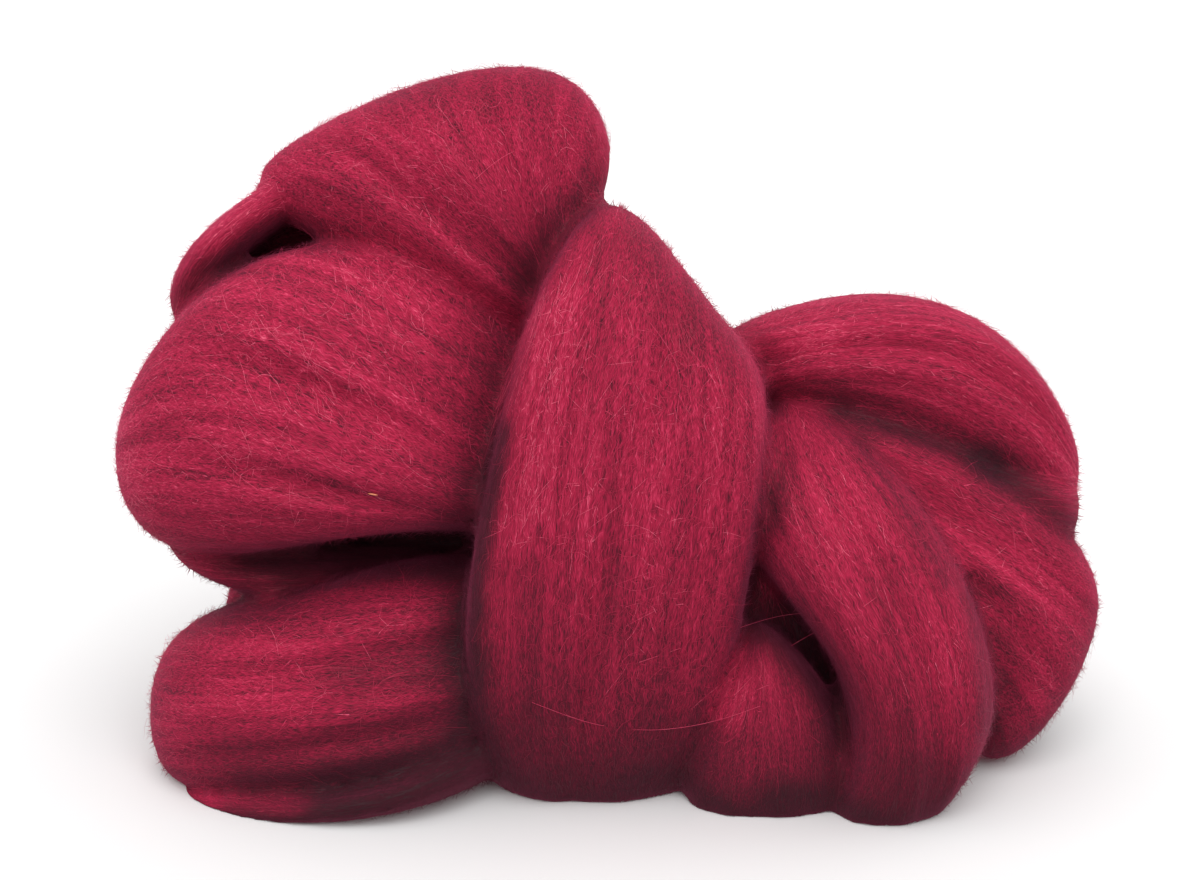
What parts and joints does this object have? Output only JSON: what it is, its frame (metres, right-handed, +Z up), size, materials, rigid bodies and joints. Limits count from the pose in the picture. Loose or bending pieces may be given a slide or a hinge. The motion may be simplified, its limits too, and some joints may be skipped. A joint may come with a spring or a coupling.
{
  "type": "wool roving hank",
  "caption": "Soft rope of dyed combed wool folded to and fro into fat laps and bound round its middle with its own end, lying on its side.",
  "frame": {"origin": "on the surface the hank lies on, under the middle of its bounding box", "axes": "+X to the right along the hank's length, seen from the side where the binding and the tucked tail end show; +Y away from that side; +Z up"},
  "size_m": [0.1999, 0.1074, 0.1437],
  "materials": {
    "dyed_wool": "matte, soft and fibrous"
  },
  "bodies": {
    "root": {"roving_hank": "dyed_wool"}
  },
  "joints": []
}
